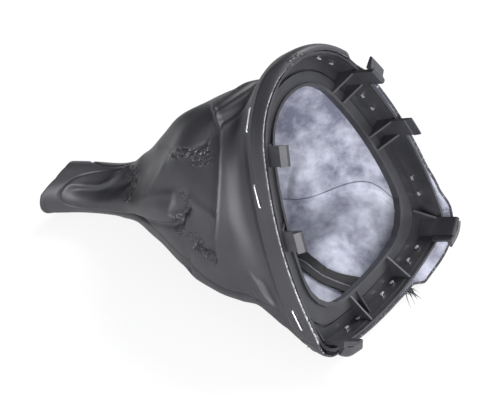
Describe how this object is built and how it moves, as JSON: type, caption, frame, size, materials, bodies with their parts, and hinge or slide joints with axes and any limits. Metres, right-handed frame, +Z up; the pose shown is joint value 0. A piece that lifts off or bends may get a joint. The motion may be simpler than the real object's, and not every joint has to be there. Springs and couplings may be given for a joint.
{
  "type": "gear lever gaiter",
  "caption": "Sewn leatherette gear lever boot stapled round a moulded shield-shaped clip frame, with a narrow sleeve for the lever, lying on its side.",
  "frame": {"origin": "on the surface it lies on, under the middle of the whole piece's box", "axes": "+X from the sleeve end towards the clip side of the frame, +Y across to the far side, +Z up; the frame leans back 26.9 degrees from upright"},
  "size_m": [0.2122, 0.1344, 0.1448],
  "materials": {
    "frame_plastic": "black injection-moulded plastic, satin",
    "leatherette": "dark grey fine-grained leatherette with a pale knitted backing",
    "staple_steel": "bright galvanised staple wire"
  },
  "bodies": {
    "root": {"clip_frame": "frame_plastic", "near_side_panel": "leatherette", "far_side_panel": "leatherette", "base_panel": "leatherette", "near_staple_1": "staple_steel", "near_staple_2": "staple_steel", "near_staple_3": "staple_steel", "far_staple_1": "staple_steel", "far_staple_2": "staple_steel", "far_staple_3": "staple_steel", "base_staple_1": "staple_steel", "base_staple_2": "staple_steel", "base_staple_3": "staple_steel"}
  },
  "joints": []
}
